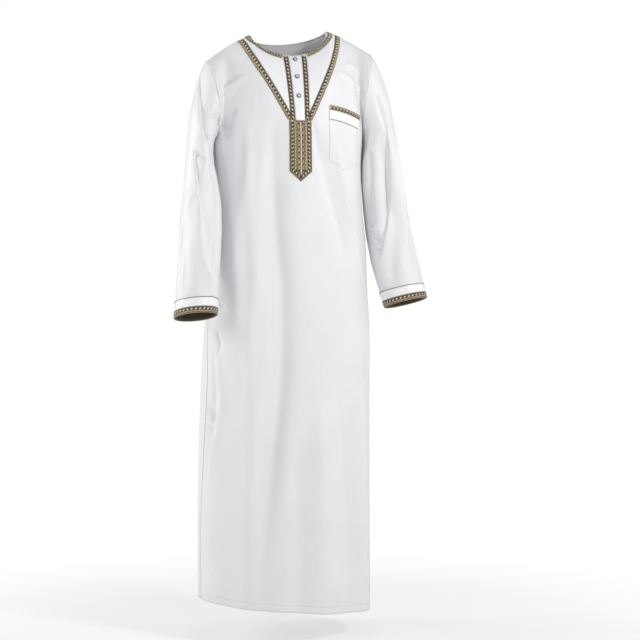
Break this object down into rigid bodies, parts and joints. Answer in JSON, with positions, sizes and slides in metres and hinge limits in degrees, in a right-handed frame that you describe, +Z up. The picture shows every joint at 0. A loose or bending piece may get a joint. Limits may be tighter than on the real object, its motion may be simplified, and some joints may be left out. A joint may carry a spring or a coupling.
{
  "type": "thobe robe",
  "caption": "Ankle-length collarless white robe in its worn, hollow form, with long sleeves, patterned braid trims, a buttoned placket and a chest pocket.",
  "frame": {"origin": "between the two points where the shoulder seams meet the neckline, where the wearer carries the robe", "axes": "+Z up along the robe, -Y out of its front, +X towards the wearer's left"},
  "size_m": [0.6638, 0.3564, 1.4638],
  "materials": {
    "satin": "soft white polyester satin with a low sheen",
    "bright_satin": "brighter, smoother white satin",
    "braid": "khaki woven braid with a dark brown rope pattern",
    "snap": "metal snap rim round a pearl centre"
  },
  "bodies": {
    "root": {"front": "satin", "back": "satin", "sleeve_right": "satin", "sleeve_left": "satin", "pocket_patch": "satin", "cuff_band_right": "bright_satin", "cuff_band_left": "bright_satin", "chest_inset_right": "bright_satin", "chest_inset_left": "bright_satin", "placket": "bright_satin", "pocket_band": "bright_satin", "cuff_braid_right": "braid", "cuff_braid_left": "braid", "neck_braid": "braid", "v_braid_right": "braid", "v_braid_left": "braid", "placket_braid_right": "braid", "placket_braid_left": "braid", "chest_panel": "braid", "pocket_braid": "braid", "button_1": "snap", "button_2": "snap", "button_3": "snap"}
  },
  "joints": []
}
